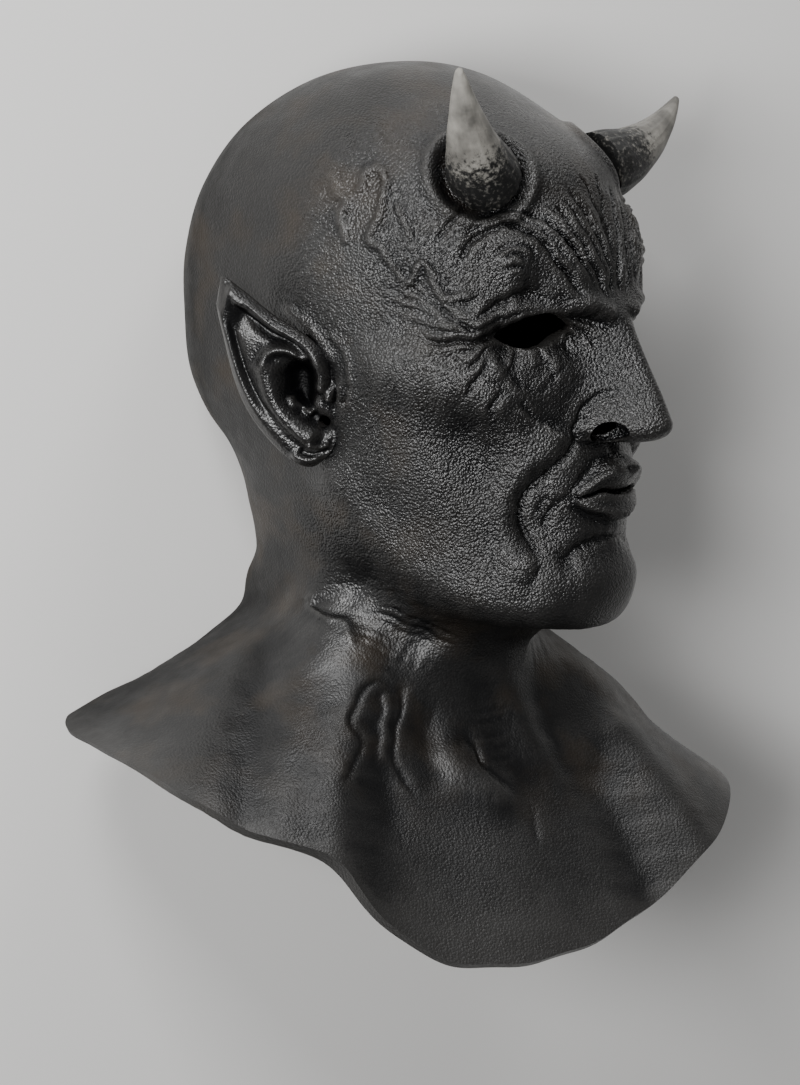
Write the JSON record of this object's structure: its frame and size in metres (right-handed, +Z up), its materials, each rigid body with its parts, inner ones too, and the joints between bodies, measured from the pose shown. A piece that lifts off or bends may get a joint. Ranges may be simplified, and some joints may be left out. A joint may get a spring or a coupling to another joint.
{
  "type": "horned devil mask",
  "caption": "Over-the-head latex devil mask with a bald skull, pointed ears, short curved horns, a hooked nose and a bib that covers the neck and shoulders.",
  "frame": {"origin": "middle of the mask's outline on the floor, at floor level", "axes": "+Z up from the floor out of the chest of the mask, +Y along the mask from the bib to the crown, +X to the mask's own left. The mask lies on its back and its face is turned 27 degrees to its left"},
  "size_m": [0.3062, 0.3838, 0.2322],
  "materials": {
    "latex": "satin black with a leathery grain",
    "horn": "grey ivory, smoked black at the root"
  },
  "bodies": {
    "root": {"mask_skin": "latex", "left_horn": "horn", "right_horn": "horn"}
  },
  "joints": []
}
